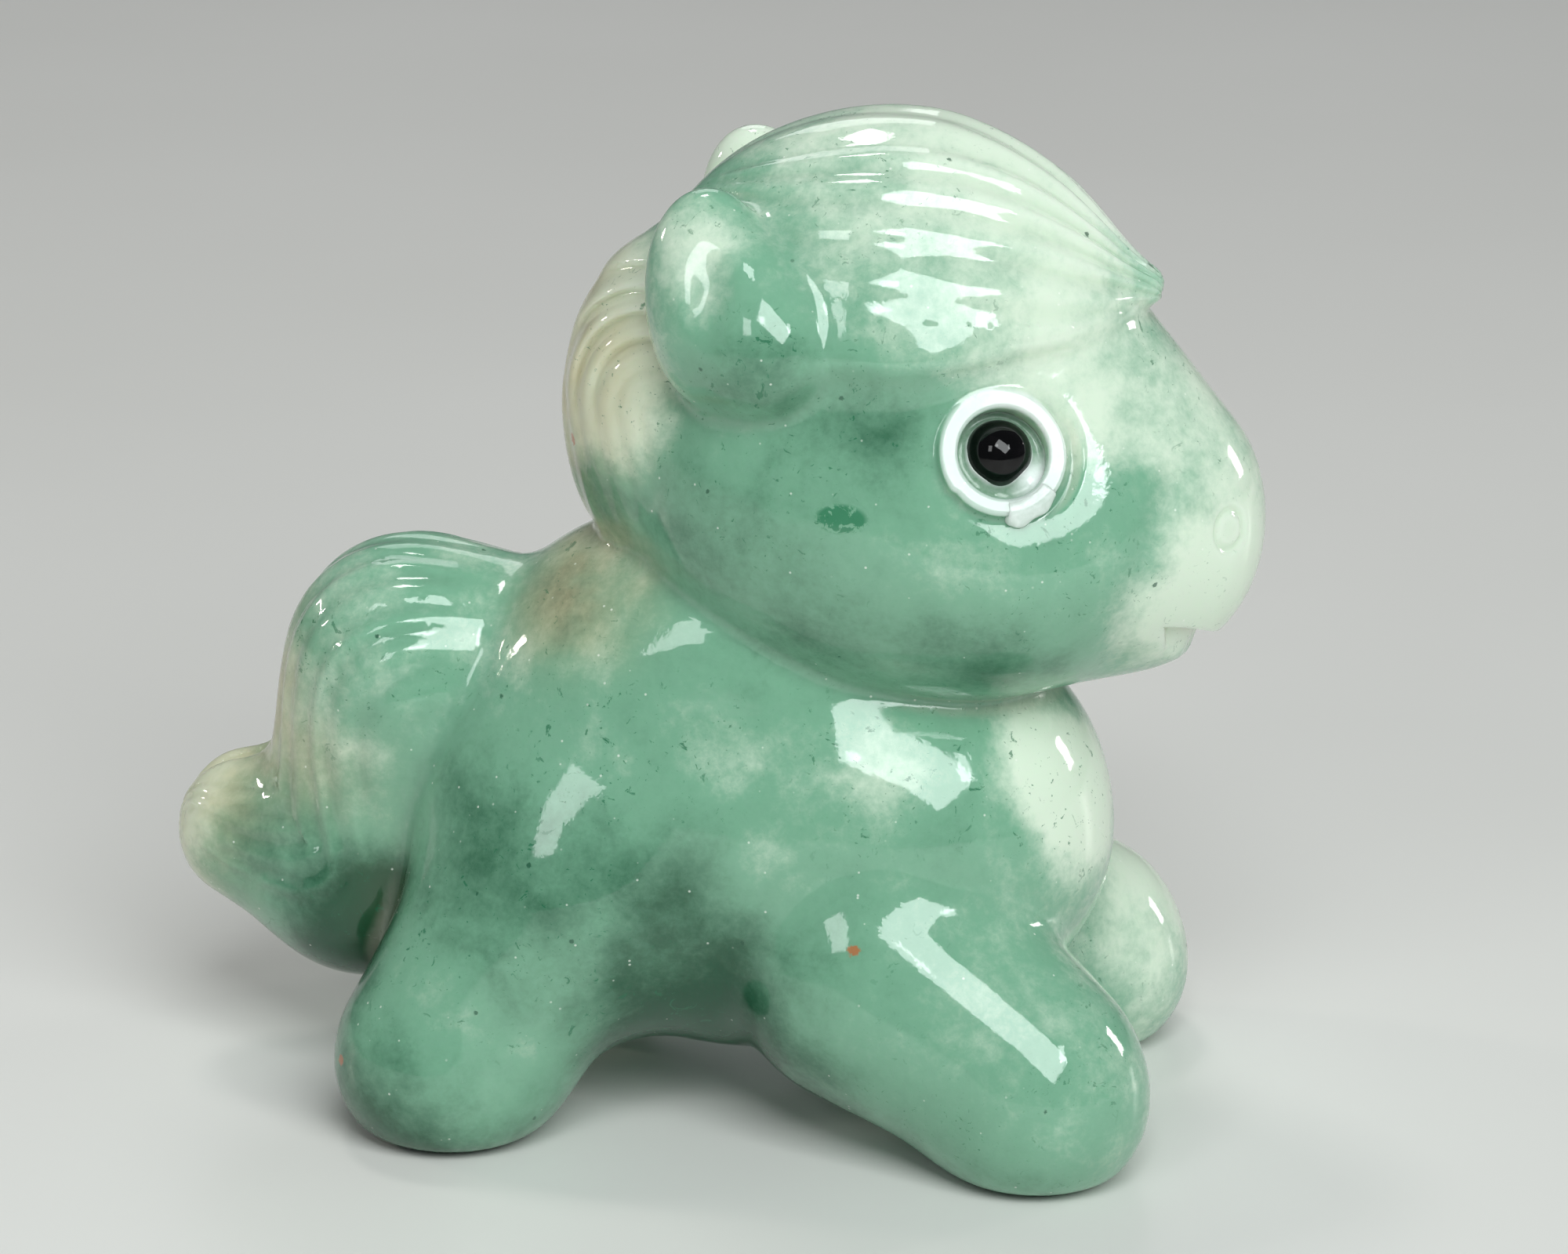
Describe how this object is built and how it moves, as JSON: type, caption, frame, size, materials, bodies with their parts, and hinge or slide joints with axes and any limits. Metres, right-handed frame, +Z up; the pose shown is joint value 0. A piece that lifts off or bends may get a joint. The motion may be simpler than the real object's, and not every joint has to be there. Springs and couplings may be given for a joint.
{
  "type": "figurine",
  "caption": "Small standing pony figurine carved from polished pale green jade, with inlaid black bead eyes and flat soles to rest on.",
  "frame": {"origin": "middle of the footprint box, on the plane the soles stand on", "axes": "+X towards the nose, +Y towards the pony's left side, +Z up"},
  "size_m": [0.0512, 0.027, 0.0475],
  "materials": {
    "jade": "polished translucent pale green stone with cloudy darker green and fine flecks",
    "black_bead": "mirror-polished black bead",
    "clear_glue": "cured clear adhesive, slightly milky"
  },
  "bodies": {
    "root": {"jade_pony": "jade", "eye_bead_right": "black_bead", "eye_bead_left": "black_bead", "eye_glue_right": "clear_glue", "eye_glue_left": "clear_glue"}
  },
  "joints": []
}
